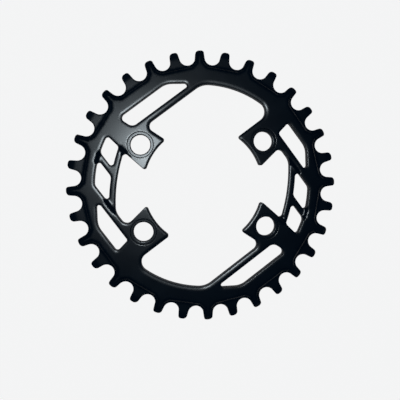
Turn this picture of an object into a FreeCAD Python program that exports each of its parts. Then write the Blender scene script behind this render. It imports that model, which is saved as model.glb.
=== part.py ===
"""Bicycle chainring with narrow and wide teeth by turns, milled from one plate.

The ring lies flat. Z is its axle line, the back face is on z = 0 and the origin is its centre.
X runs through the middle of a wide tooth, so that Y does too. The openings of the left half are
described here, and those of the right half are the same ones turned half round the axle line.
"""
import FreeCAD
import Part
import math
import os

# Chain, in millimetres as all lengths here. The teeth are even in number.
TEETH = 32
CHAIN_PITCH = 12.7
ROLLER_DIA = 7.75
SEAT_CLEARANCE = 0.05

# Tooth outline, seen along the axle line. The two tip corners differ: the anticlockwise one takes
# what the other one and the land between them leave of the tooth's width.
TIP_HEIGHT = 3.4
FLANK_ANGLE = 6.0
TIP_R_CLOCKWISE = 1.4
TIP_LAND = 0.5

# Thickness of the plate and the teeth. Both kinds of tooth thin out towards the tip.
PLATE_T = 3.8
NARROW_T = 2.1
TIP_T = 1.1
WIDE_TAPER = 2.75
NARROW_TAPER = 3.1

# Relief round each narrow tooth and its two seats, which leaves a rib on each wide tooth.
# Its sloping wall turns round a seat in equal facets.
RIB_WIDTH = 1.15
WALL_SLOPE_WIDTH = 1.15
WALL_FACETS = 3
WALL_TURN = 105.0

# Bolts that hold the ring to the crank: four in a rectangle on one circle.
BOLT_CIRCLE = 76.0
BOLT_ANGLE = 35.0
BOLT_HOLE_DIA = 9.9
BOLT_SEAT_DIA = 12.6
BOLT_SEAT_DEPTH = 0.8

# Tabs round the bolts: the wall between a hole and the end of its tab, and how far each side of a
# tab lies from the bolt's centre.
TAB_END_WALL = 2.85
TAB_SIDE = 8.1
TAB_SPLAY = 8.0
UPPER_TAB_SIDE = 8.9
LOWER_TAB_SIDE = 9.5
TAB_CORNER_R = 1.1
UPPER_TAB_ROOT_R = 3.1
LOWER_TAB_ROOT_R = 5.1

# Rim: metal left between the tooth roots and each opening.
RIM_AT_OPENING = 9.5
RIM_AT_WINDOWS = 6.4
RIM_AT_LONG_SLOT = 8.2
RIM_OVER_LONG_SLOT = 8.8
RIM_AT_SHORT_SLOT = 6.5
RIM_BESIDE_SHORT_SLOT = 7.1

# Arms along the two slots, which run square to each other, one of them at the bolts' angle.
SLOT_WIDTH = 7.8
SLOT_BEND_R = 9.5
SLOT_TIP_R = 1.4
SLOT_END_R = 2.2
LONG_SLOT_END_SIDE = 5.2
LONG_SLOT_HEEL_R = 3.5
SHORT_SLOT_END_SIDE = 2.8
SHORT_SLOT_END_TURN = 9.7
LONG_ARM_WIDTH = 3.2
SHORT_ARM_WIDTH = 3.4
ARM_BLEND_R = 10.0
SHORT_ARM_ROOT_R = 3.0

# Curved strut between an upper and a lower tab, and the two windows outside it. The middle of the
# strut lies so many degrees above the X axis.
STRUT_WIDTH = 3.0
STRUT_R = 84.0
STRUT_RISE = 14.7
STRUT_TOP_R = 1.7
STRUT_FOOT_R = 8.0
WINDOW_DEPTH = 8.1
WINDOW_WIDTH = 9.1
WINDOW_BAR = 2.8
WINDOW_TOP_TURN = 10.8
WINDOW_SHARP_R = 1.4
WINDOW_WIDE_R = 3.3

# The strut and the bar between its windows lie lower than the rest, behind a sloping wall. The
# lowered part ends a little way past the strut, where the opening in the middle begins.
RECESS_DEPTH = 1.2
RECESS_SLOPE_WIDTH = 1.3
RECESS_PAST_STRUT = 2.0

# Broken front edge of every opening.
FRONT_EDGE_CHAMFER = 0.8

# How far a cutter runs past the metal it cuts, and how nearly level a face has to be to count so.
CUTTER_RUN_OUT = 0.5
FLAT_WITHIN = 0.001

# Sizes that follow from those above
HALF_STEP = 180.0 / TEETH
PITCH_R = CHAIN_PITCH / 2 / math.sin(math.radians(HALF_STEP))
SEAT_R = ROLLER_DIA / 2 + SEAT_CLEARANCE
ROOT_R = PITCH_R - SEAT_R
TIP_R = PITCH_R + TIP_HEIGHT
MID_Z = PLATE_T / 2
FLOOR_WIDTH = CHAIN_PITCH / 2 - SEAT_R - RIB_WIDTH / 2 - WALL_SLOPE_WIDTH
BOLT_R = BOLT_CIRCLE / 2
TAB_END_R = BOLT_R - BOLT_HOLE_DIA / 2 - TAB_END_WALL
RIM_R = ROOT_R - RIM_AT_WINDOWS
UPPER_BOLT_ANGLE = 180 - BOLT_ANGLE
LOWER_BOLT_ANGLE = 180 + BOLT_ANGLE
SIDE_ANGLE = BOLT_ANGLE - 90
STRUT_AXIS = 180 - STRUT_RISE


def polar(radius, angle):
    """Point at a radius from the centre, in the direction of an angle in degrees."""
    turn = math.radians(angle)
    return FreeCAD.Vector(radius * math.cos(turn), radius * math.sin(turn), 0)


class Straight:
    """Straight edge walked in one direction, with the open side on its left."""

    def __init__(self, angle, offset):
        self.along = polar(1, angle)
        self.left = polar(1, angle + 90)
        self.offset = offset

    def shifted(self, distance):
        edge = Straight(0, self.offset + distance)
        edge.along = self.along
        edge.left = self.left
        return edge

    def turned(self):
        edge = Straight(0, self.offset)
        edge.along = -self.along
        edge.left = -self.left
        return edge

    def heading(self, point):
        return self.along

    def foot(self, point):
        return point + self.left * (self.offset - self.left.dot(point))

    def piece(self, start, end):
        return Part.makeLine(start, end)


class Round:
    """Round edge walked anticlockwise or clockwise, with the open side on its left."""

    def __init__(self, radius, centre=FreeCAD.Vector(), clockwise=False):
        self.radius = radius
        self.centre = centre
        self.clockwise = clockwise

    def shifted(self, distance):
        change = distance if self.clockwise else -distance
        return Round(self.radius + change, self.centre, self.clockwise)

    def turned(self):
        return Round(self.radius, -self.centre, self.clockwise)

    def heading(self, point):
        out = (point - self.centre).normalize()
        ahead = FreeCAD.Vector(-out.y, out.x, 0)
        return -ahead if self.clockwise else ahead

    def foot(self, point):
        return self.centre + (point - self.centre).normalize() * self.radius

    def piece(self, start, end):
        middle = self.foot((start + end) / 2)
        return Part.Arc(start, middle, end).toShape()


def beside(point, angle, distance):
    """Straight edge walked at an angle, with a point lying so far to its right."""
    return Straight(angle, polar(1, angle + 90).dot(point) + distance)


def crossing(first, second, near):
    """Point where two edges meet; of two such points, the one nearer to a given place."""
    if isinstance(first, Round) and isinstance(second, Straight):
        first, second = second, first
    if isinstance(second, Straight):
        sine = first.left.cross(second.left).z
        along_first = second.left * first.offset - first.left * second.offset
        return FreeCAD.Vector(along_first.y, -along_first.x, 0) / sine
    if isinstance(first, Straight):
        base = first.foot(second.centre)
        across = first.along
        reach = second.radius ** 2 - (base - second.centre).Length ** 2
    else:
        between = second.centre - first.centre
        gap = between.Length
        share = (gap ** 2 + first.radius ** 2 - second.radius ** 2) / (2 * gap)
        base = first.centre + between / gap * share
        across = FreeCAD.Vector(-between.y, between.x, 0) / gap
        reach = first.radius ** 2 - share ** 2
    half = math.sqrt(reach)
    return min((base + across * half, base - across * half), key=near.distanceToPoint)


def outline(corners):
    """Closed wire from (edge, radius of the corner after it, place near that corner) in order."""
    rounds = []
    for (edge, radius, near), (following, _, _) in zip(corners, corners[1:] + corners[:1]):
        corner = crossing(edge, following, near)
        turn = edge.heading(corner).cross(following.heading(corner)).z
        shift = math.copysign(radius, turn)
        centre = crossing(edge.shifted(shift), following.shifted(shift), corner)
        start = edge.foot(centre)
        end = following.foot(centre)
        toward_corner = ((start + end) / 2 - centre).normalize()
        rounds.append((start, centre + toward_corner * radius, end))
    pieces = []
    for (edge, _, _), before, after in zip(corners, rounds[-1:] + rounds[:-1], rounds):
        pieces.append(edge.piece(before[2], after[0]))
        pieces.append(Part.Arc(*after).toShape())
    return Part.Wire(pieces)


def prism(wire, bottom, top):
    """Solid between two heights whose section is a wire drawn at height 0."""
    base = Part.Face(wire).translated(FreeCAD.Vector(0, 0, bottom))
    return base.extrude(FreeCAD.Vector(0, 0, top - bottom))


def cut_through(wire):
    return prism(wire, -CUTTER_RUN_OUT, PLATE_T + CUTTER_RUN_OUT)


def revolved(section):
    """Solid of revolution about the axle line from (radius, height) points."""
    points = [FreeCAD.Vector(radius, 0, height) for radius, height in section]
    face = Part.Face(Part.makePolygon(points + points[:1]))
    return face.revolve(FreeCAD.Vector(), FreeCAD.Vector(0, 0, 1), 360)


def swept_across(section, width):
    """Solid across the X axis, of a given width, from (distance along X, height) points."""
    points = [FreeCAD.Vector(x, -width / 2, height) for x, height in section]
    face = Part.Face(Part.makePolygon(points + points[:1]))
    return face.extrude(FreeCAD.Vector(0, width, 0))


def about_axle(shape, angle):
    return shape.rotated(FreeCAD.Vector(), FreeCAD.Vector(0, 0, 1), angle)


def at_tooth(shape, number):
    """Shape turned from the X axis to a tooth, counted from the wide one on the X axis."""
    return about_axle(shape, number * 2 * HALF_STEP)


def shared(solids):
    """The space that all of some solids have in common."""
    space = solids[0]
    for solid in solids[1:]:
        space = space.common(solid)
    return space


def on_both_faces(shape):
    """Shape made for the front face, and the same one for the back face."""
    return [shape, shape.mirror(FreeCAD.Vector(0, 0, MID_Z), FreeCAD.Vector(0, 0, 1))]


def tooth_flank(side):
    """Directions out of and up a flank of the tooth on the X axis, and the flank's distance.

    Side is 1 for the anticlockwise flank and -1 for the clockwise one.
    """
    lean = math.radians(FLANK_ANGLE)
    out = FreeCAD.Vector(math.sin(lean), side * math.cos(lean), 0)
    up = FreeCAD.Vector(math.cos(lean), -side * math.sin(lean), 0)
    return out, up, out.dot(polar(PITCH_R, side * HALF_STEP)) - SEAT_R


def tooth_side(side, tip_radius):
    """Points of half a tooth on the X axis: seat, flank foot, flank top, tip corner, tip."""
    out, up, flank = tooth_flank(side)
    reach = (TIP_R - tip_radius) ** 2 - (flank - tip_radius) ** 2
    tip_centre = out * (flank - tip_radius) + up * math.sqrt(reach)
    outward = FreeCAD.Vector(tip_centre).normalize()
    corner = tip_centre + (out + outward).normalize() * tip_radius
    return [
        polar(ROOT_R, side * HALF_STEP), polar(PITCH_R, side * HALF_STEP) - out * SEAT_R,
        tip_centre + out * tip_radius, corner, outward * TIP_R]


def toothed_outline():
    """Outline of the whole ring at its teeth."""
    out, up, flank = tooth_flank(1)
    tip_width = 2 * (flank - TIP_R * out.x) / out.y
    other_radius = tip_width - TIP_LAND - TIP_R_CLOCKWISE
    low, foot, top, corner, tip = tooth_side(-1, TIP_R_CLOCKWISE)
    low_2, foot_2, top_2, corner_2, tip_2 = tooth_side(1, other_radius)
    previous_foot = FreeCAD.Rotation(FreeCAD.Vector(0, 0, 1), -2 * HALF_STEP) * foot_2
    tooth = [
        Part.Arc(previous_foot, low, foot).toShape(),
        Part.makeLine(foot, top),
        Part.Arc(top, corner, tip).toShape(),
        Part.Arc(tip, (tip + tip_2).normalize() * TIP_R, tip_2).toShape(),
        Part.Arc(tip_2, corner_2, top_2).toShape(),
        Part.makeLine(top_2, foot_2)]
    return Part.Wire([at_tooth(piece, number) for number in range(TEETH) for piece in tooth])


def sloped_block(start, run, floor):
    """Block above a floor, with a wall that starts in the front face at a distance along X.

    The wall slopes down along +X, with a given run for each millimetre of depth.
    """
    top = PLATE_T + CUTTER_RUN_OUT
    foot = start + run * (PLATE_T - floor)
    section = [(foot, floor), (TIP_R, floor), (TIP_R, top), (start - run * CUTTER_RUN_OUT, top)]
    return swept_across(section, 2 * TIP_R)


def relief():
    """Cutter for the relief round a narrow tooth on the X axis."""
    depth = (PLATE_T - NARROW_T) / 2
    start = -SEAT_R - FLOOR_WIDTH - WALL_SLOPE_WIDTH
    facet = sloped_block(start, WALL_SLOPE_WIDTH / depth, PLATE_T - depth)
    blocks = []
    for side in (-1, 1):
        for number in range(WALL_FACETS + 1):
            turned = about_axle(facet, -side * number * WALL_TURN / WALL_FACETS)
            blocks.append(turned.translated(polar(PITCH_R, side * HALF_STEP)))
    return shared(blocks)


def tip_facet(thickness, taper):
    """Cutter that thins the tooth on the X axis towards its tip."""
    face = MID_Z + thickness / 2
    fall = (thickness - TIP_T) / 2 / taper
    end = TIP_R + CUTTER_RUN_OUT
    start = TIP_R - taper
    rise = fall * CUTTER_RUN_OUT
    section = [
        (start - CUTTER_RUN_OUT, face + rise), (end, MID_Z + TIP_T / 2 - rise), (end, face + rise)]
    return swept_across(section, CHAIN_PITCH - ROLLER_DIA)


def toothed_plate():
    shapes_by_tooth = [
        [tip_facet(PLATE_T, WIDE_TAPER)],
        [tip_facet(NARROW_T, NARROW_TAPER), relief()]]
    cutters = []
    for number in range(TEETH):
        for shape in shapes_by_tooth[number % 2]:
            cutters += on_both_faces(at_tooth(shape, number))
    return prism(toothed_outline(), 0, PLATE_T).cut(cutters)


def left_edges():
    """The edges that bound the openings of the left half, by name."""
    upper_bolt = polar(BOLT_R, UPPER_BOLT_ANGLE)
    lower_bolt = polar(BOLT_R, LOWER_BOLT_ANGLE)
    long_outer = ROOT_R - RIM_AT_LONG_SLOT
    long_inner = long_outer - SLOT_WIDTH
    short_outer = ROOT_R - RIM_AT_SHORT_SLOT
    short_inner = short_outer - SLOT_WIDTH
    window_low = short_inner - SHORT_ARM_WIDTH
    window_high = window_low - WINDOW_WIDTH
    strut_outer = RIM_R - WINDOW_DEPTH
    strut_centre = polar(strut_outer - STRUT_R, STRUT_AXIS)
    return {
        "long arm": Straight(BOLT_ANGLE + 180, LONG_ARM_WIDTH - long_inner),
        "long slot inner": Straight(BOLT_ANGLE, long_inner),
        "long slot outer": Straight(BOLT_ANGLE + 180, -long_outer),
        "long slot top": Straight(180, RIM_OVER_LONG_SLOT - ROOT_R),
        "long slot end": beside(upper_bolt, -BOLT_ANGLE, LONG_SLOT_END_SIDE),
        "short slot outer": Straight(SIDE_ANGLE, -short_outer),
        "short slot inner": Straight(SIDE_ANGLE + 180, short_inner),
        "short slot side": Straight(-90, RIM_BESIDE_SHORT_SLOT - ROOT_R),
        "short slot end": beside(lower_bolt, BOLT_ANGLE + SHORT_SLOT_END_TURN, SHORT_SLOT_END_SIDE),
        "short arm": Straight(SIDE_ANGLE, -window_low),
        "window low bar": Straight(SIDE_ANGLE + 180, window_high),
        "window high bar": Straight(SIDE_ANGLE, WINDOW_BAR - window_high),
        "window top": beside(upper_bolt, UPPER_BOLT_ANGLE - WINDOW_TOP_TURN, TAB_SIDE),
        "window rim": Round(RIM_R),
        "strut outer": Round(STRUT_R, strut_centre, clockwise=True),
        "strut inner": Round(STRUT_R - STRUT_WIDTH, strut_centre),
        "upper tab top": beside(upper_bolt, -BOLT_ANGLE, UPPER_TAB_SIDE),
        "upper tab foot": beside(upper_bolt, UPPER_BOLT_ANGLE - TAB_SPLAY, TAB_SIDE),
        "lower tab top": beside(lower_bolt, BOLT_ANGLE + TAB_SPLAY, TAB_SIDE),
        "lower tab foot": beside(lower_bolt, LOWER_BOLT_ANGLE, LOWER_TAB_SIDE),
        "tab end": Round(TAB_END_R),
        "opening rim": Round(ROOT_R - RIM_AT_OPENING)}


def small_openings(edges):
    """Outlines of the two slots and of the two windows of the left half."""
    upper_place = polar(RIM_R, UPPER_BOLT_ANGLE)
    lower_place = polar(RIM_R, LOWER_BOLT_ANGLE)
    window_place = polar(RIM_R, STRUT_AXIS)
    plans = [
        (upper_place, [
            ("long slot inner", SLOT_TIP_R), ("long slot top", SLOT_BEND_R),
            ("long slot outer", SLOT_END_R), ("long slot end", LONG_SLOT_HEEL_R)]),
        (lower_place, [
            ("short slot outer", SLOT_TIP_R), ("short slot end", SLOT_TIP_R),
            ("short slot inner", SLOT_TIP_R), ("short slot side", SLOT_BEND_R)]),
        (window_place, [
            ("window high bar", WINDOW_SHARP_R), ("strut outer", WINDOW_SHARP_R),
            ("window top", WINDOW_SHARP_R), ("window rim", WINDOW_WIDE_R)]),
        (window_place, [
            ("short arm", WINDOW_SHARP_R), ("strut outer", WINDOW_WIDE_R),
            ("window low bar", WINDOW_SHARP_R), ("window rim", WINDOW_WIDE_R)])]
    outlines = [
        outline([(edges[name], radius, place) for name, radius in plan]) for place, plan in plans]
    return outlines[:2], outlines[2:]


def behind_corner(edge, rim, radius):
    """What the recess leaves standing behind a window's corner: its wall runs round that corner."""
    top = PLATE_T + CUTTER_RUN_OUT
    floor = PLATE_T - RECESS_DEPTH
    corner = crossing(edge, rim, polar(RIM_R, STRUT_AXIS))
    centre = crossing(edge.shifted(radius), rim.shifted(radius), corner)
    start = radius + FRONT_EDGE_CHAMFER
    rise = RECESS_SLOPE_WIDTH / RECESS_DEPTH * CUTTER_RUN_OUT
    inside = revolved([
        (0, floor), (start - RECESS_SLOPE_WIDTH, floor), (start + rise, top), (0, top)])
    first = (edge.foot(centre) - centre).normalize() * TIP_R
    second = (rim.foot(centre) - centre).normalize() * TIP_R
    reach = [centre, centre + first, centre + first + second, centre + second, centre]
    return prism(Part.makePolygon(reach), floor, top).cut(inside.translated(centre))


def recess(edges):
    """Cutter that lowers the strut and the bar, from the rim to the upper tab and the short arm.

    It breaks the front edge of the lowered strut, too, and ends in the opening in the middle.
    """
    top = PLATE_T + CUTTER_RUN_OUT
    floor = PLATE_T - RECESS_DEPTH
    bottom = floor - FRONT_EDGE_CHAMFER
    run = RECESS_SLOPE_WIDTH / RECESS_DEPTH
    rim_start = RIM_R + FRONT_EDGE_CHAMFER
    rim_foot = rim_start - run * (PLATE_T - bottom)
    inside_rim = revolved([
        (0, bottom), (rim_foot, bottom), (rim_start + run * CUTTER_RUN_OUT, top), (0, top)])
    strut = edges["strut inner"]
    end = strut.radius - RECESS_PAST_STRUT
    far = strut.radius + TIP_R
    from_strut = revolved([
        (end, bottom), (strut.radius, bottom), (strut.radius + FRONT_EDGE_CHAMFER, floor),
        (far, floor), (far, top), (end, top)]).translated(strut.centre)
    block = sloped_block(-FRONT_EDGE_CHAMFER, run, bottom)
    sides = []
    for edge in (edges["window top"], edges["short arm"]):
        facing = math.degrees(math.atan2(edge.left.y, edge.left.x))
        sides.append(about_axle(block, facing).translated(edge.left * edge.offset))
    corners = [
        behind_corner(edges["window top"], edges["window rim"], WINDOW_SHARP_R),
        behind_corner(edges["short arm"], edges["window rim"], WINDOW_WIDE_R)]
    return shared([inside_rim, from_strut] + sides).cut(corners)


def opening(edges):
    """Outline of the opening in the middle, walked round both halves."""
    upper_bolt = polar(BOLT_R, UPPER_BOLT_ANGLE)
    lower_bolt = polar(BOLT_R, LOWER_BOLT_ANGLE)
    below = polar(ROOT_R, -90)
    half = [
        ("long arm", UPPER_TAB_ROOT_R, upper_bolt), ("upper tab top", TAB_CORNER_R, upper_bolt),
        ("tab end", TAB_CORNER_R, upper_bolt), ("upper tab foot", STRUT_TOP_R, upper_bolt),
        ("strut inner", STRUT_FOOT_R, lower_bolt), ("short arm", SHORT_ARM_ROOT_R, lower_bolt),
        ("lower tab top", TAB_CORNER_R, lower_bolt), ("tab end", TAB_CORNER_R, lower_bolt),
        ("lower tab foot", LOWER_TAB_ROOT_R, lower_bolt), ("opening rim", ARM_BLEND_R, below)]
    left = [(edges[name], radius, place) for name, radius, place in half]
    right = [(edges[name].turned(), radius, -place) for name, radius, place in half]
    return outline(left + right)


def bolt_hole():
    """Cutter for a bolt hole on the axle line, with the seat of the bolt's head in front."""
    hole_r = BOLT_HOLE_DIA / 2
    seat_r = BOLT_SEAT_DIA / 2
    floor = PLATE_T - BOLT_SEAT_DEPTH
    top = PLATE_T + CUTTER_RUN_OUT
    return revolved([
        (0, -CUTTER_RUN_OUT), (hole_r, -CUTTER_RUN_OUT), (hole_r, floor),
        (seat_r, floor), (seat_r, top), (0, top)])


def is_level(shape, z):
    """Whether a face lies wholly at one height."""
    return abs(shape.BoundBox.ZMin - z) < FLAT_WITHIN and abs(shape.BoundBox.ZMax - z) < FLAT_WITHIN


def front_edges(body):
    """Edges round the openings in the front face."""
    faces = [face for face in body.Faces if is_level(face, PLATE_T)]
    front = max(faces, key=lambda face: face.Area)
    rings = [wire for wire in front.Wires if not wire.isSame(front.OuterWire)]
    return [edge for wire in rings for edge in wire.Edges]


def both_halves(shape):
    return [shape, about_axle(shape, 180)]


def chainring():
    edges = left_edges()
    slots, windows = small_openings(edges)
    cutters = [cut_through(opening(edges))]
    for slot in slots:
        cutters += both_halves(cut_through(slot))
    body = toothed_plate().cut(cutters)
    body = body.makeChamfer(FRONT_EDGE_CHAMFER, front_edges(body))
    cutters = both_halves(recess(edges))
    for window in windows:
        cutters += both_halves(cut_through(window))
    for angle in (UPPER_BOLT_ANGLE, LOWER_BOLT_ANGLE):
        cutters += both_halves(bolt_hole().translated(polar(BOLT_R, angle)))
    return body.cut(cutters).Solids[0]


os.makedirs("parts", exist_ok=True)
chainring().exportStep("parts/chainring.step")
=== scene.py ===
"""Dresses a bicycle chainring, a single milled plate, in its black anodised finish on a pale stage."""
import math

import bmesh
import bpy
import numpy
from bpy.props import FloatProperty, FloatVectorProperty, IntProperty, PointerProperty
from bpy.types import Operator, Panel, PropertyGroup
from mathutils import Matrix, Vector
from mathutils.bvhtree import BVHTree
from mathutils.geometry import delaunay_2d_cdt


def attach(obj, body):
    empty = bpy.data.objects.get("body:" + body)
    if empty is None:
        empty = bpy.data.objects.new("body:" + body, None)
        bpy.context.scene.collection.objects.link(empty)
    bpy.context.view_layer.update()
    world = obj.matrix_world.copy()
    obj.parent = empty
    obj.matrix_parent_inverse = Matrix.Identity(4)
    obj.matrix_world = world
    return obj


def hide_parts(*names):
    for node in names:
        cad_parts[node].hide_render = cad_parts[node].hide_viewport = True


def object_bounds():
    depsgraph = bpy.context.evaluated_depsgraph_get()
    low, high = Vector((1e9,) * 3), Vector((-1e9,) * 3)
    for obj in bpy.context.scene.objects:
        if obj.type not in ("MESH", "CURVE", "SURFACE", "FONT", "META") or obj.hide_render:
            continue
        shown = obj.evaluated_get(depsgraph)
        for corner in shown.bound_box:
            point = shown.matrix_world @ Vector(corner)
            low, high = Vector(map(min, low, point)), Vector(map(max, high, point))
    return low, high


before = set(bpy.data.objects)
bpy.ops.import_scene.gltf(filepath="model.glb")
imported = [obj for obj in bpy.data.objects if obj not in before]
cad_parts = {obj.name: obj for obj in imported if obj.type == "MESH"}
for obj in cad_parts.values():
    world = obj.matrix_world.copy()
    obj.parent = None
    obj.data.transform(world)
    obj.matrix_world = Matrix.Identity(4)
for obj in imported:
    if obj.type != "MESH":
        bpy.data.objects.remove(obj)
CAD_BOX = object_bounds()
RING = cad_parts["chainring"]
CLIP_START = 0.01

FRONT = 1
BACK = -1

bl_info = {
    "name": "Chainring Finish",
    "version": (1, 0, 0),
    "blender": (4, 5, 0),
    "location": "View3D > Sidebar > Chainring",
    "description": "Anodised finish, broken edges and studio stage for a bicycle chainring",
    "category": "Object",
}


class RingFinish(PropertyGroup):
    """Sizes and colours of the ring's surface."""

    mesh_step: FloatProperty(
        name="Mesh step", description="Spacing of the mesh on the front face",
        default=0.00050, min=0.0001, unit="LENGTH", precision=5)
    back_step: FloatProperty(
        name="Back mesh step", description="Spacing of the mesh on the back face",
        default=0.00090, min=0.0001, unit="LENGTH", precision=5)
    tumbling: IntProperty(
        name="Tumbling", description="How long the ring was tumbled, which softens its creases",
        default=4, min=0, max=100)
    tooth_edge_width: FloatProperty(
        name="Tooth edge width", description="Width of the rounded edges of the teeth and of the back",
        default=0.00050, min=0.0, unit="LENGTH", precision=5)
    tooth_edge: FloatProperty(
        name="Tooth edge", description="Depth of the rounded edges of the teeth and of the back",
        default=0.00015, min=0.0, unit="LENGTH", precision=5)
    seat_edge_width: FloatProperty(
        name="Bolt seat edge width", description="Width of the rounded edges of the bolt seats",
        default=0.00045, min=0.0, unit="LENGTH", precision=5)
    seat_edge: FloatProperty(
        name="Bolt seat edge", description="Depth of the rounded edges of the bolt seats",
        default=0.00018, min=0.0, unit="LENGTH", precision=5)
    opening_edge_width: FloatProperty(
        name="Opening edge width", description="Width of the rounded front edges of the openings",
        default=0.00014, min=0.0, unit="LENGTH", precision=5)
    opening_edge: FloatProperty(
        name="Opening edge", description="Depth of the rounded front edges of the openings",
        default=0.00012, min=0.0, unit="LENGTH", precision=5)
    arm_swell: FloatProperty(
        name="Arm swelling", description="How far the front face swells behind the inner edges of the arms",
        default=0.00175, min=0.0, unit="LENGTH", precision=5)
    end_swell: FloatProperty(
        name="End swelling", description="How far the front face swells at the ends of tabs and on struts",
        default=0.00110, min=0.0, unit="LENGTH", precision=5)
    middle_slope: FloatProperty(
        name="Middle slope", description="Slope of the swelling at the edge of the opening in the middle",
        default=math.radians(13), subtype="ANGLE")
    slot_swell: FloatProperty(
        name="Slot swelling", description="How far the front face swells behind slots and windows",
        default=0.00130, min=0.0, unit="LENGTH", precision=5)
    slot_slope: FloatProperty(
        name="Slot slope", description="Slope of the swelling at the edges of the slots and windows",
        default=math.radians(8.5), subtype="ANGLE")
    broken_edge: FloatProperty(
        name="Broken edge", description="Width of the flat that the rounded front edges take the place of",
        default=0.00090, min=0.0, unit="LENGTH", precision=5)
    edge_angle: FloatProperty(
        name="Edge angle", description="Faces that meet at a smaller angle are one smooth surface",
        default=math.radians(36), subtype="ANGLE")
    dye: FloatVectorProperty(
        name="Dye", description="Colour of the dyed oxide layer", default=(0.0005, 0.0045, 0.0105),
        size=3, subtype="COLOR", min=0.0, max=1.0)
    dye_thin: FloatVectorProperty(
        name="Thin dye", description="Colour where the dye took less well", default=(0.0008, 0.0058, 0.0130),
        size=3, subtype="COLOR", min=0.0, max=1.0)
    bare_metal: FloatVectorProperty(
        name="Bare metal", description="Colour of aluminium that rubs through on edges",
        default=(0.13, 0.14, 0.15), size=3, subtype="COLOR", min=0.0, max=1.0)
    rub: FloatProperty(
        name="Rubbed edges", description="How much bare metal shows on the sharpest edges", default=0.01,
        min=0.0, max=1.0, subtype="FACTOR")
    gloss_level: FloatProperty(
        name="Gloss level", description="Strength of the mirror-like part of the reflection", default=0.25,
        min=0.0, max=1.0, subtype="FACTOR")
    roughness_low: FloatProperty(
        name="Least roughness", description="Roughness of the smoothest patches", default=0.218,
        min=0.0, max=1.0, subtype="FACTOR")
    roughness_high: FloatProperty(
        name="Most roughness", description="Roughness of the dullest patches", default=0.238,
        min=0.0, max=1.0, subtype="FACTOR")
    wall_roughness: FloatProperty(
        name="Wall roughness", description="Roughness of the milled walls, which no blasting reached",
        default=0.75, min=0.0, max=1.0, subtype="FACTOR")
    blast_grain: FloatProperty(
        name="Blasted grain", description="Size of the pits that bead blasting left", default=0.00022,
        min=0.0, unit="LENGTH", precision=5)
    blast_depth: FloatProperty(
        name="Pit depth", description="Depth of the blasted pits", default=0.000002, min=0.0,
        unit="LENGTH", precision=6)
    cloud_size: FloatProperty(
        name="Cloud size", description="Size of the soft patches in sheen and dye", default=0.012,
        min=0.0, unit="LENGTH")


class StageSetup(PropertyGroup):
    """Floor, light and camera."""

    floor_color: FloatVectorProperty(
        name="Floor", description="Colour of the paper under the ring", default=(0.972, 0.972, 0.972),
        size=3, subtype="COLOR", min=0.0, max=1.0)
    floor_glow: FloatProperty(
        name="Floor glow", description="Share of the paper's brightness that light from behind gives",
        default=0.90, min=0.0, max=1.0, subtype="FACTOR")
    floor_size: FloatProperty(
        name="Floor size", description="Side of the sheet of paper", default=6.0, min=0.5, unit="LENGTH")
    floor_gap: FloatProperty(
        name="Floor gap", description="Gap that keeps the paper apart from the ring's back",
        default=0.00005, min=0.0, unit="LENGTH", precision=5)
    ceiling: FloatVectorProperty(
        name="Ceiling", description="Light from the dark ceiling", default=(0.008, 0.022, 0.038),
        size=3, subtype="COLOR", min=0.0, max=1.0)
    wall_light: FloatProperty(
        name="Wall light", description="Light from the pale walls round the stage", default=0.20, min=0.0)
    wall_height: FloatProperty(
        name="Wall height", description="Rise of the pale walls, as the sine of their angle above the floor",
        default=0.30, min=0.0, max=1.0, subtype="FACTOR")
    lamp_power: FloatProperty(
        name="Lamp power", description="Power of the soft lamp above", default=5.4, min=0.0, unit="POWER")
    lamp_color: FloatVectorProperty(
        name="Lamp colour", description="Colour of the soft lamp's cool light", default=(0.84, 0.945, 1.0),
        size=3, subtype="COLOR", min=0.0, max=1.0)
    lamp_size: FloatProperty(
        name="Lamp size", description="Side of the soft lamp", default=0.12, min=0.01, unit="LENGTH")
    lamp_place: FloatVectorProperty(
        name="Lamp place", description="Middle of the soft lamp", default=(-0.076, 0.070, 1.30), size=3,
        subtype="TRANSLATION")
    lens: FloatProperty(
        name="Lens", description="Focal length of the camera, in millimetres", default=35.541, min=1.0)
    sensor: FloatProperty(
        name="Sensor", description="Width of the camera's sensor, in millimetres", default=36.0, min=1.0)
    camera_place: FloatVectorProperty(
        name="Camera place", description="Where the camera stands", default=(-0.018304, 0.009390, 0.201210),
        size=3, subtype="TRANSLATION")
    camera_turn: FloatVectorProperty(
        name="Camera turn", description="Turn of the camera from looking straight down",
        default=tuple(math.radians(turn) for turn in (-1.2823, -4.8744, -1.9079)), size=3, subtype="EULER")
    camera_rise: FloatProperty(
        name="Camera rise", description="Upward shift of the picture, in picture widths", default=-0.05605)
    camera_side: FloatProperty(
        name="Camera side shift", description="Sideways shift of the picture, in picture widths",
        default=-0.00170)


class NodeSheet:
    """Small helper that adds and joins the nodes of one material or of the world."""

    def __init__(self, owner):
        owner.use_nodes = True
        self.tree = owner.node_tree
        self.tree.nodes.clear()

    def add(self, kind, **settings):
        node = self.tree.nodes.new(kind)
        for name, value in settings.items():
            setattr(node, name, value)
        return node

    def set(self, node, **values):
        for name, value in values.items():
            node.inputs[name.replace("_", " ")].default_value = value
        return node

    def join(self, output, entry):
        self.tree.links.new(output, entry)


def noise(sheet, coordinates, size, detail, roughness=0.5):
    """Noise whose features have a size in metres."""
    node = sheet.add("ShaderNodeTexNoise")
    sheet.set(node, Scale=1.0 / size, Detail=detail, Roughness=roughness)
    sheet.join(coordinates, node.inputs["Vector"])
    return node.outputs["Fac"]


def spread(sheet, value, low, high, to_low=0.0, to_high=1.0):
    """Values from low to high, spread smoothly over another range."""
    node = sheet.add("ShaderNodeMapRange", interpolation_type="SMOOTHSTEP")
    for name, number in (("From Min", low), ("From Max", high), ("To Min", to_low), ("To Max", to_high)):
        node.inputs[name].default_value = number
    sheet.join(value, node.inputs["Value"])
    return node.outputs["Result"]


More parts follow.
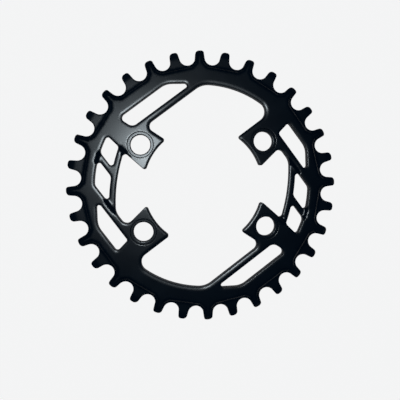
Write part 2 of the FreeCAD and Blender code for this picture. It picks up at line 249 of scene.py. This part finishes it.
def mixed(sheet, share, first, second):
    """Colour between two others; each of them is a colour or a node's output."""
    node = sheet.add("ShaderNodeMix", data_type="RGBA")
    sheet.join(share, node.inputs["Factor"])
    for name, colour in (("A", first), ("B", second)):
        entry = next(i for i in node.inputs if i.name == name and i.type == "RGBA")
        if isinstance(colour, bpy.types.NodeSocket):
            sheet.join(colour, entry)
        else:
            entry.default_value = (*colour, 1.0)
    return next(o for o in node.outputs if o.type == "RGBA")


def product(sheet, value, factor):
    """A node's output times a number or another output."""
    node = sheet.add("ShaderNodeMath", operation="MULTIPLY")
    sheet.join(value, node.inputs[0])
    if isinstance(factor, bpy.types.NodeSocket):
        sheet.join(factor, node.inputs[1])
    else:
        node.inputs[1].default_value = factor
    return node.outputs[0]


def blended(sheet, share, first, second):
    """Number between a node's output and a fixed number."""
    node = sheet.add("ShaderNodeMix", data_type="FLOAT")
    sheet.join(share, node.inputs["Factor"])
    sheet.join(first, node.inputs["A"])
    node.inputs["B"].default_value = second
    return node.outputs["Result"]


# Where an effect sets in and where it is full, on the scale of its noise, of the edges' pointiness or of
# the rise of a wall's normal.
DYE_CLOUDS = (0.35, 0.7)
SHEEN_CLOUDS = (0.3, 0.7)
RUBBED_EDGES = (0.52, 0.62)
RUBBED_SPECKS = (0.4, 0.65)
WALL_RISE = (0.25, 0.6)
CLOUD_DETAIL = 4.0
FINE_DETAIL = 2.0
SPECK_GRAINS = 5
PIT_ROUGHNESS = 0.6
PIT_STRENGTH = 0.6


def black_anodise(finish):
    """Blasted and dyed aluminium: satin, nearly black, duller on its walls, a little rubbed on its edges."""
    material = bpy.data.materials.new("black_anodise")
    sheet = NodeSheet(material)
    place = sheet.add("ShaderNodeTexCoord").outputs["Object"]
    clouds = noise(sheet, place, finish.cloud_size, CLOUD_DETAIL)
    specks = noise(sheet, place, finish.blast_grain * SPECK_GRAINS, FINE_DETAIL)
    pits = noise(sheet, place, finish.blast_grain, FINE_DETAIL, PIT_ROUGHNESS)
    dye = mixed(sheet, spread(sheet, clouds, *DYE_CLOUDS), tuple(finish.dye), tuple(finish.dye_thin))
    edges = sheet.add("ShaderNodeNewGeometry").outputs["Pointiness"]
    rubbed = product(sheet, spread(sheet, edges, *RUBBED_EDGES), spread(sheet, specks, *RUBBED_SPECKS))
    colour = mixed(sheet, product(sheet, rubbed, finish.rub), dye, tuple(finish.bare_metal))
    patches = spread(sheet, clouds, *SHEEN_CLOUDS, finish.roughness_low, finish.roughness_high)
    normal = sheet.add("ShaderNodeSeparateXYZ")
    sheet.join(sheet.add("ShaderNodeTexCoord").outputs["Normal"], normal.inputs[0])
    rise = sheet.add("ShaderNodeMath", operation="ABSOLUTE")
    sheet.join(normal.outputs["Z"], rise.inputs[0])
    walls = spread(sheet, rise.outputs[0], *WALL_RISE, 1.0, 0.0)
    roughness = blended(sheet, walls, patches, finish.wall_roughness)
    bump = sheet.set(sheet.add("ShaderNodeBump"), Strength=PIT_STRENGTH, Distance=finish.blast_depth)
    sheet.join(pits, bump.inputs["Height"])
    shader = sheet.add("ShaderNodeBsdfPrincipled")
    shader.inputs["Specular IOR Level"].default_value = finish.gloss_level
    sheet.join(colour, shader.inputs["Base Color"])
    sheet.join(roughness, shader.inputs["Roughness"])
    sheet.join(bump.outputs["Normal"], shader.inputs["Normal"])
    sheet.join(shader.outputs["BSDF"], sheet.add("ShaderNodeOutputMaterial").inputs["Surface"])
    return material


class Round:
    """Rounded edge: a tight quarter of an ellipse, and a shallow swelling of the face behind it."""

    # Rows of points across each part of the round, and how fast the swelling fades behind the edge.
    TIGHT_ROWS = 4
    WIDE_ROWS = 4
    SWELL_POWER = 1.65

    def __init__(self, width, depth, swell_width=0.0, swell_slope=0.0):
        self.width = width
        self.depth = depth
        self.swell_width = swell_width
        self.swell_slope = swell_slope
        self.reach = max(width, swell_width)
        quarter = math.radians(90) / self.TIGHT_ROWS
        self.rows = [width * (1 - math.cos(quarter * row)) for row in range(1, self.TIGHT_ROWS + 1)]
        if swell_width > width:
            gap = (swell_width - width) / self.WIDE_ROWS
            self.rows += [width + gap * row for row in range(1, self.WIDE_ROWS + 1)]

    def drop(self, distance):
        """Depth below the face at a distance from the edge."""
        share = max(1 - distance / self.width, 0)
        depth = self.depth * (1 - math.sqrt(1 - share * share))
        if distance < self.swell_width:
            behind = (1 - distance / self.swell_width) ** self.SWELL_POWER
            depth += math.tan(self.swell_slope) * self.swell_width * behind / self.SWELL_POWER
        return depth


class Skin:
    """The front or the back of the ring, laid anew as one sheet of small triangles with rounded edges.

    Lengths are in metres, apart from the plan that is cut into triangles, which is in millimetres.
    """

    # Rise of a face's normal: above FACING the face belongs to the sheet, and below LEVEL it slants.
    FACING = 0.1
    LEVEL = 0.98
    CREASE = math.radians(8)

    # Places on the ring: distances from the axle line, distances from a bolt, and a height.
    TEETH_FROM = 0.057
    FEET_FROM = 0.0308
    STRUT_FROM = 0.0400
    BOLT_R = 0.038
    BOLT_ANGLES = (35, 145, 215, 325)
    HOLE_REACH = 0.0057
    SEAT_REACH = 0.0066
    SEAT_FLOOR = 0.0030
    OPENINGS = ("arm", "end", "foot", "slot")

    # Room round a point, as a share of its row's distance or of the mesh step, and the limit of a mitre.
    ROW_ROOM = 0.98
    CREASE_ROOM = 0.125
    GRID_ROOM = 0.6
    MITRE_LIMIT = 0.5

    # Tumbling: how many times the passes there are inside the teeth, the share of the way that a point moves
    # in one pass, the range of the weights, and the least values that anything is divided by.
    SOFTENING = 2
    PACE = 0.6
    WEIGHT_RANGE = (0.02, 5.0)
    LEAST_AREA = 1e-6
    LEAST_WEIGHT = 1e-9

    # Points nearer than CLOSE are one, or nearer than PLAN_CLOSE in the plan. TO_PLAN turns metres into its
    # millimetres, and DIGITS are those of a place that is looked up.
    CLOSE = 1e-6
    DIGITS = 6
    TO_PLAN = 1000.0
    PLAN_CLOSE = 1e-5

    def __init__(self, metal, side, step, rounds, broken=0.0, seats=False):
        self.metal = metal
        self.side = side
        self.step = step
        self.rounds = rounds
        self.broken = broken
        self.facing = [
            face for face in metal.faces
            if face.normal.z * side > self.FACING and self.is_seat_floor(face) == seats]
        self.steps = self.low_steps()
        self.tree = self.ray_tree()
        self.cut_lines()
        self.lay_points()
        self.lay_triangles()

    def low_steps(self):
        """Upright faces that stand among the facing ones and don't reach down to the other side."""
        reaching = [face for face in self.metal.faces if face.normal.z * self.side < -self.FACING]
        passed = set(self.facing + reaching)
        while reaching:
            for edge in reaching.pop().edges:
                if self.is_upright(edge):
                    continue
                for face in edge.link_faces:
                    if face not in passed:
                        passed.add(face)
                        reaching.append(face)
        return [face for face in self.metal.faces if face not in passed]

    def is_upright(self, edge):
        first, second = edge.verts
        return (first.co - second.co).xy.length < self.CLOSE

    def is_seat_floor(self, face):
        """Whether a face is part of the sunk floor under a bolt's head."""
        level = all(abs(vert.co.z - self.SEAT_FLOOR) < self.CLOSE for vert in face.verts)
        return level and self.bolt_distance(face.calc_center_median()) < self.SEAT_REACH

    def bolt_distance(self, place):
        """Distance in the plan from a place to the middle of the nearest bolt hole."""
        bolts = [Vector((math.cos(turn), math.sin(turn))) * self.BOLT_R
                 for turn in map(math.radians, self.BOLT_ANGLES)]
        return min((place.xy - bolt).length for bolt in bolts)

    def kind(self, place):
        """Which round an edge at a place of the ring has.

        Round the opening in the middle these are the arms, the ends of the tabs with the struts, and the
        straight feet of the tabs beside the struts.
        """
        if place.xy.length > self.TEETH_FROM:
            return "tooth"
        gap = self.bolt_distance(place)
        if gap < self.HOLE_REACH:
            return "hole"
        if gap < self.SEAT_REACH:
            return "seat"
        if self.spot(place) not in self.middle:
            return "slot"
        if place.xy.length < self.FEET_FROM:
            return "end"
        if abs(place.y) > abs(place.x) * math.tan(math.radians(self.BOLT_ANGLES[0])):
            return "arm"
        return "foot" if place.xy.length < self.STRUT_FROM else "end"

    def spot(self, place):
        """Place in the plan, rounded so that it can be looked up."""
        return round(place.x, self.DIGITS), round(place.y, self.DIGITS)

    def middle_spots(self, ends):
        """Corners of the opening in the middle, walked along the edges from the innermost corner."""
        beside = {}
        for edge in ends:
            first, second = (self.spot(vert.co) for vert in edge.verts)
            beside.setdefault(first, []).append(second)
            beside.setdefault(second, []).append(first)
        waiting = [min(beside, key=lambda spot: math.hypot(*spot))]
        walked = set(waiting)
        while waiting:
            for spot in beside[waiting.pop()]:
                if spot not in walked:
                    walked.add(spot)
                    waiting.append(spot)
        return walked

    def ray_tree(self):
        """Search tree of the facing faces, as they are before any edge is cut."""
        corners = [vert.co.copy() for face in self.facing for vert in face.verts]
        polygons, first = [], 0
        for face in self.facing:
            polygons.append(tuple(range(first, first + len(face.verts))))
            first += len(face.verts)
        return BVHTree.FromPolygons(corners, polygons)

    def sounded(self, x, y):
        """Where a ray along the axle line meets the surface over a place, and the normal there."""
        return self.tree.ray_cast(Vector((x, y, self.side)), Vector((0, 0, -self.side)))[:2]

    def height(self, x, y):
        """Height of the surface over a place in the plan, or None beside the metal."""
        hit, _ = self.sounded(x, y)
        return None if hit is None else hit.z

    def slants(self, x, y):
        """Whether the surface over a place in the plan is neither level nor missing."""
        _, normal = self.sounded(x, y)
        return normal is not None and abs(normal.z) < self.LEVEL

    def lines(self):
        """Edges where the skin ends, and edges where it is creased."""
        facing, steps = set(self.facing), set(self.steps)
        ends, creases = [], []
        for edge in self.metal.edges:
            inside = sum(face in facing for face in edge.link_faces)
            if steps.intersection(edge.link_faces):
                continue
            if inside == 1:
                ends.append(edge)
            elif inside == 2 and edge.calc_face_angle() > self.CREASE:
                creases.append(edge)
        return ends, creases

    def cut_lines(self):
        """Cut the ends and the creases into lengths of a mesh step or less."""
        ends, creases = self.lines()
        by_cuts = {}
        for edge in ends + creases:
            cuts = math.ceil(edge.calc_length() / self.step) - 1
            by_cuts.setdefault(cuts, []).append(edge)
        for cuts, edges in by_cuts.items():
            if cuts:
                bmesh.ops.bisect_edges(self.metal, edges=edges, cuts=cuts)

    @staticmethod
    def in_plan(place):
        return Vector((place.x, place.y, 0))

    def fence(self, edges):
        """Upright strips along some edges, from which distances in the plan are taken."""
        corners = []
        for edge in edges:
            first, second = (self.in_plan(vert.co) for vert in edge.verts)
            up = Vector((0, 0, 1))
            corners += [first - up, second - up, second + up, first + up]
        strips = [tuple(range(start, start + 4)) for start in range(0, len(corners), 4)]
        return BVHTree.FromPolygons(corners, strips)

    def inward(self, ends):
        """For each corner of the sheet's ends, the way into the metal, longer where the edge turns."""
        facing = set(self.facing)
        ways = {}
        for edge in ends:
            first, second = edge.verts
            along = (second.co - first.co).xy.normalized()
            way = Vector((-along.y, along.x))
            inside = next(face for face in edge.link_faces if face in facing)
            if way.dot((inside.calc_center_median() - first.co).xy) < 0:
                way = -way
            ways.setdefault(first, []).append(way)
            ways.setdefault(second, []).append(way)
        result = {}
        for vert, sides in ways.items():
            middle = sum(sides, Vector((0, 0))).normalized()
            result[vert] = middle / max(middle.dot(sides[0]), self.MITRE_LIMIT)
        return result

    def lay_points(self):
        """Lay the sheet's points and the links between them that its triangles keep."""
        ends, creases = self.lines()
        self.middle = self.middle_spots(ends)
        by_kind = {kind: [] for kind in self.rounds}
        for edge in ends:
            by_kind[self.kind(edge.verts[0].co)].append(edge)
        self.fences = {kind: self.fence(edges) for kind, edges in by_kind.items()}
        self.openings = self.fence([edge for kind in self.OPENINGS for edge in by_kind.get(kind, ())])
        self.outline = self.fence(ends)
        ways = self.inward(ends)
        self.fixed = list(ways)
        self.points, self.links, self.taken = [], [], {}
        self.lay_ends(ends, ways)
        self.lay_rows(ways)
        self.lay_creases(creases)
        self.lay_grid()

    def lay_ends(self, ends, ways):
        """Points along the ends, which come first, and the links between them."""
        self.number = {vert: count for count, vert in enumerate(self.fixed)}
        for vert, way in ways.items():
            self.take(self.levelled(vert.co, way, 0, self.is_broken(vert)))
        self.links += [tuple(self.number[vert] for vert in edge.verts) for edge in ends]

    def lay_rows(self, ways):
        """Rows of points beside the ends, as their rounds need them."""
        for vert, way in ways.items():
            before = 0
            for row in self.rounds[self.kind(vert.co)].rows:
                place = vert.co.xy + way * row
                free = self.outline.find_nearest(Vector((*place, 0)))[3]
                if free > row * self.ROW_ROOM and not self.crowded(place, (row - before) / 2):
                    self.take(self.levelled(vert.co, way, row, self.is_broken(vert)))
                before = row

    def lay_creases(self, creases):
        """Points along the creases, apart from those that a round takes the place of."""
        for edge in creases:
            for vert in edge.verts:
                replaced = self.openings.find_nearest(self.in_plan(vert.co), self.broken)[0]
                if vert in self.number or replaced is not None:
                    continue
                if not self.crowded(vert.co, self.step * self.CREASE_ROOM):
                    self.number[vert] = len(self.points)
                    self.take(vert.co.copy())
            link = tuple(self.number.get(vert) for vert in edge.verts)
            if None not in link and max(link) >= len(self.fixed):
                self.links.append(link)

    def lay_grid(self):
        """Points of an even grid between all the others, twice as fine where the face slants."""
        low, high = CAD_BOX
        fine = self.step / 2
        rise = fine * math.sqrt(3) / 2
        for row in range(int((high.y - low.y) / rise) + 1):
            for column in range(int((high.x - low.x) / fine) + 1):
                place = Vector((low.x + (column + row % 2 / 2) * fine, low.y + row * rise, 0))
                coarse = row % 2 == 0 and (column + row // 2) % 2 == 0
                self.lay_between(place, coarse, (self.step if coarse else fine) * self.GRID_ROOM)

    def lay_between(self, place, coarse, room):
        """Lay one point of the grid, if the grid has one there and there is metal and room for it."""
        height = self.height(place.x, place.y)
        if height is None:
            return
        edge, _, _, gap = self.openings.find_nearest(place, self.broken)
        way = Vector((0, 0)) if edge is None else (place - edge).xy.normalized()
        behind = place.xy if edge is None else edge.xy + way * self.broken
        if not coarse and not self.slants(*behind):
            return
        if self.outline.find_nearest(place, room)[0] is not None or self.crowded(place, room):
            return
        if edge is None:
            self.points.append(Vector((place.x, place.y, height)))
        else:
            self.points.append(self.levelled(edge, way, gap, True))

    def cell(self, place):
        return int(place.x // self.step), int(place.y // self.step)

    def take(self, point):
        """Add a point and keep others away from it."""
        self.points.append(point)
        self.taken.setdefault(self.cell(point), []).append(point.xy)

    def crowded(self, place, distance):
        """Whether a taken point lies nearer to a place than a distance of a mesh step or less."""
        column, row = self.cell(place)
        for x in (column - 1, column, column + 1):
            for y in (row - 1, row, row + 1):
                for other in self.taken.get((x, y), ()):
                    if (other - place.xy).length < distance:
                        return True
        return False

    def is_broken(self, vert):
        """Whether a corner of the ends lies on an opening, whose front edge is broken."""
        return self.kind(vert.co) in self.OPENINGS

    def levelled(self, edge, way, gap, broken):
        """Point at a gap from an edge, level with the face behind the edge where that is broken."""
        place = edge.xy + way * gap
        behind = edge.xy + way * max(gap, self.broken) if broken else place
        height = self.height(*behind)
        if height is None:
            height = self.tree.find_nearest(Vector((*place, edge.z)))[0].z
        return Vector((*place, height))

    def lay_triangles(self):
        """Join the points into triangles, apart from slivers and those over the openings."""
        plan = [point.xy * self.TO_PLAN for point in self.points]
        places, _, faces, sources, _, _ = delaunay_2d_cdt(plan, self.links, [], 0, self.PLAN_CLOSE)
        self.twins = {
            twin: same[0] for same in sources for twin in same[1:] if twin < len(self.fixed)}
        self.triangles = []
        for face in faces:
            a, b, c = (places[corner] for corner in face)
            middle = (a + b + c) / 3 / self.TO_PLAN
            if abs((b - a).cross(c - a)) > self.PLAN_CLOSE and self.height(*middle) is not None:
                self.triangles.append([sources[corner][0] for corner in face])

    def neighbours(self):
        """Pairs of points that are joined, for each triangle in turn, and how much they count."""
        plan = numpy.array([point.xy * self.TO_PLAN for point in self.points])
        corners = numpy.array(self.triangles)
        starts, stops, weights = [], [], []
        for turn in range(3):
            a, b, c = (corners[:, (turn + shift) % 3] for shift in range(3))
            to_a, to_b = plan[a] - plan[c], plan[b] - plan[c]
            area = numpy.abs(to_a[:, 0] * to_b[:, 1] - to_a[:, 1] * to_b[:, 0])
            cotangent = (to_a * to_b).sum(1) / numpy.maximum(area, self.LEAST_AREA)
            starts += [a, b]
            stops += [b, a]
            weights += [cotangent, cotangent]
        weight = numpy.clip(numpy.concatenate(weights), *self.WEIGHT_RANGE)
        return numpy.concatenate(starts), numpy.concatenate(stops), weight

    def tumble(self, passes):
        """Soften the creases and round the ends of the skin, by heights only."""
        heights = numpy.array([point.z for point in self.points])
        start, stop, weight = self.neighbours()
        whole = numpy.bincount(start, weight, len(heights))
        inner = numpy.array([
            self.broken > 0 and point.xy.length < self.TEETH_FROM for point in self.points])
        free = numpy.full(len(heights), True)
        free[:len(self.fixed)] = [self.broken > 0 and self.is_broken(vert) for vert in self.fixed]
        for count in range(passes * self.SOFTENING):
            total = numpy.bincount(start, weight * heights[stop], len(heights))
            target = total / numpy.maximum(whole, self.LEAST_WEIGHT)
            moved = free if count < passes else free & inner
            heights[moved] += self.PACE * (target - heights)[moved]
        for point, height in zip(self.points, heights):
            point.z = height - self.side * self.rounded(point)

    def rounded(self, point):
        """How far the rounded edges lie below the skin at a point."""
        drops = [0.0]
        for kind, edge in self.rounds.items():
            distance = self.fences[kind].find_nearest(self.in_plan(point), edge.reach)[3]
            if distance is not None:
                drops.append(edge.drop(distance))
        return max(drops)

    def replace(self):
        """Put the sheet in the place of the faces that it was laid over."""
        bmesh.ops.delete(self.metal, geom=self.facing + self.steps, context="FACES")
        verts = list(self.fixed)
        for vert, point in zip(verts, self.points):
            vert.co = point
        verts += [self.metal.verts.new(point) for point in self.points[len(verts):]]
        for corners in self.triangles:
            face = self.metal.faces.new([verts[corner] for corner in corners])
            face.normal_update()
            if face.normal.z * self.side < 0:
                face.normal_flip()
        joined = {verts[twin]: verts[kept] for twin, kept in self.twins.items()}
        bmesh.ops.weld_verts(self.metal, targetmap=joined)


def edge_rounds(finish):
    """Rounds of the edges of the front, of the floors of the bolt seats and of the back."""
    tooth = Round(finish.tooth_edge_width, finish.tooth_edge)
    seat = Round(finish.seat_edge_width, finish.seat_edge)
    corner = Round(finish.seat_edge_width, 0.0)
    width, depth = finish.opening_edge_width, finish.opening_edge
    arm = Round(width, depth, finish.arm_swell, finish.middle_slope)
    end = Round(width, depth, finish.end_swell, finish.middle_slope)
    foot = Round(width, depth, finish.end_swell, 0.0)
    slot = Round(width, depth, finish.slot_swell, finish.slot_slope)
    front = {"tooth": tooth, "seat": seat, "arm": arm, "end": end, "foot": foot, "slot": slot}
    floors = {"hole": seat, "seat": corner}
    back = {kind: tooth for kind in ("tooth", "hole", *Skin.OPENINGS)}
    return front, floors, back


def tumbled_ring(finish):
    """Mesh of the ring after tumbling, which rounded the edges of its front and its back."""
    metal = bmesh.new()
    metal.from_mesh(RING.data)
    bmesh.ops.remove_doubles(metal, verts=metal.verts, dist=Skin.CLOSE)
    metal.normal_update()
    front, floors, back = edge_rounds(finish)
    sheets = (
        {"side": FRONT, "step": finish.mesh_step, "rounds": front, "broken": finish.broken_edge},
        {"side": FRONT, "step": finish.mesh_step, "rounds": floors, "seats": True},
        {"side": BACK, "step": finish.back_step, "rounds": back})
    for sheet in sheets:
        skin = Skin(metal, **sheet)
        skin.tumble(finish.tumbling)
        skin.replace()
        metal.normal_update()
    loose = [vert for vert in metal.verts if not vert.link_faces]
    bmesh.ops.delete(metal, geom=loose, context="VERTS")
    wide = [face for face in metal.faces if len(face.verts) > 3]
    bmesh.ops.triangulate(metal, faces=wide)
    for face in metal.faces:
        face.smooth = True
    for edge in metal.edges:
        edge.smooth = not edge.is_manifold or edge.calc_face_angle() < finish.edge_angle
    mesh = bpy.data.meshes.new("tumbled_ring")
    metal.to_mesh(mesh)
    metal.free()
    return mesh


class CHAINRING_OT_finish_ring(Operator):
    """Round the ring's edges as tumbling does, and give it its anodised finish"""

    bl_idname = "chainring.finish_ring"
    bl_label = "Finish Ring"
    bl_options = {"REGISTER", "UNDO"}

    def execute(self, context):
        finish = context.scene.ring_finish
        mesh = tumbled_ring(finish)
        mesh.materials.append(black_anodise(finish))
        ring = bpy.data.objects.new("tumbled_ring", mesh)
        context.scene.collection.objects.link(ring)
        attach(ring, "root")
        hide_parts("chainring")
        return {"FINISHED"}


def paper(stage):
    """Pale paper, lit partly from behind, on which the ring's shadow still falls."""
    material = bpy.data.materials.new("pale_paper")
    sheet = NodeSheet(material)
    ray = sheet.add("ShaderNodeLightPath")
    seen = ray.outputs["Is Camera Ray"]
    for name in ("Is Glossy Ray", "Is Transmission Ray"):
        either = sheet.add("ShaderNodeMath", operation="MAXIMUM")
        sheet.join(seen, either.inputs[0])
        sheet.join(ray.outputs[name], either.inputs[1])
        seen = either.outputs[0]
    lit = sheet.add("ShaderNodeBsdfDiffuse")
    lit.inputs["Color"].default_value = (*stage.floor_color, 1.0)
    glow = sheet.add("ShaderNodeEmission")
    glow.inputs["Color"].default_value = (*stage.floor_color, 1.0)
    both = sheet.add("ShaderNodeMixShader")
    sheet.join(product(sheet, seen, stage.floor_glow), both.inputs["Fac"])
    sheet.join(lit.outputs["BSDF"], both.inputs[1])
    sheet.join(glow.outputs["Emission"], both.inputs[2])
    sheet.join(both.outputs["Shader"], sheet.add("ShaderNodeOutputMaterial").inputs["Surface"])
    return material


def studio_room(stage):
    """World with pale walls low down and a dark ceiling."""
    world = bpy.data.worlds.new("studio_room")
    sheet = NodeSheet(world)
    up = sheet.add("ShaderNodeSeparateXYZ")
    sheet.join(sheet.add("ShaderNodeTexCoord").outputs["Generated"], up.inputs[0])
    walls = spread(sheet, up.outputs["Z"], 0.0, stage.wall_height, 1.0, 0.0)
    colour = mixed(sheet, walls, tuple(stage.ceiling), (stage.wall_light,) * 3)
    background = sheet.add("ShaderNodeBackground")
    sheet.join(colour, background.inputs["Color"])
    sheet.join(background.outputs[0], sheet.add("ShaderNodeOutputWorld").inputs["Surface"])
    return world


class CHAINRING_OT_set_stage(Operator):
    """Lay pale paper under the ring, light it softly and set up the camera above it"""

    bl_idname = "chainring.set_stage"
    bl_label = "Set Stage"
    bl_options = {"REGISTER", "UNDO"}

    def execute(self, context):
        scene = context.scene
        stage = scene.chainring_stage
        half = stage.floor_size / 2
        level = CAD_BOX[0].z - stage.floor_gap
        corners = [(-half, -half), (half, -half), (half, half), (-half, half)]
        mesh = bpy.data.meshes.new("paper")
        mesh.from_pydata([(x, y, level) for x, y in corners], [], [(0, 1, 2, 3)])
        mesh.materials.append(paper(stage))
        sheet_of_paper = bpy.data.objects.new("paper", mesh)
        scene.collection.objects.link(sheet_of_paper)

        scene.world = studio_room(stage)
        lamp = bpy.data.lights.new("soft_lamp", "AREA")
        lamp.energy = stage.lamp_power
        lamp.size = stage.lamp_size
        lamp.color = stage.lamp_color
        soft_lamp = bpy.data.objects.new("soft_lamp", lamp)
        soft_lamp.location = stage.lamp_place
        soft_lamp.rotation_euler = (-Vector(stage.lamp_place)).to_track_quat("-Z", "Y").to_euler()
        scene.collection.objects.link(soft_lamp)

        camera = bpy.data.cameras.new("camera_above")
        camera.lens = stage.lens
        camera.sensor_width = stage.sensor
        camera.shift_x = stage.camera_side
        camera.shift_y = stage.camera_rise
        camera.clip_start = CLIP_START
        camera_above = bpy.data.objects.new("camera_above", camera)
        camera_above.location = stage.camera_place
        camera_above.rotation_euler = stage.camera_turn
        scene.collection.objects.link(camera_above)
        bpy.context.scene.camera = camera_above
        scene.view_settings.view_transform = "Standard"
        return {"FINISHED"}


class CHAINRING_PT_finish(Panel):
    """Sidebar panel with the ring's finish and its stage"""

    bl_idname = "CHAINRING_PT_finish"
    bl_label = "Chainring"
    bl_space_type = "VIEW_3D"
    bl_region_type = "UI"
    bl_category = "Chainring"

    def draw(self, context):
        groups = (
            (CHAINRING_OT_finish_ring, context.scene.ring_finish),
            (CHAINRING_OT_set_stage, context.scene.chainring_stage))
        for operator, group in groups:
            box = self.layout.box()
            for name in group.__annotations__:
                box.prop(group, name)
            box.operator(operator.bl_idname)


CLASSES = (RingFinish, StageSetup, CHAINRING_OT_finish_ring, CHAINRING_OT_set_stage, CHAINRING_PT_finish)


def register():
    for each in CLASSES:
        bpy.utils.register_class(each)
    bpy.types.Scene.ring_finish = PointerProperty(type=RingFinish)
    bpy.types.Scene.chainring_stage = PointerProperty(type=StageSetup)


def unregister():
    del bpy.types.Scene.chainring_stage
    del bpy.types.Scene.ring_finish
    for each in reversed(CLASSES):
        bpy.utils.unregister_class(each)


def main():
    register()
    bpy.ops.chainring.finish_ring()
    bpy.ops.chainring.set_stage()


if __name__ == "__main__":
    main()
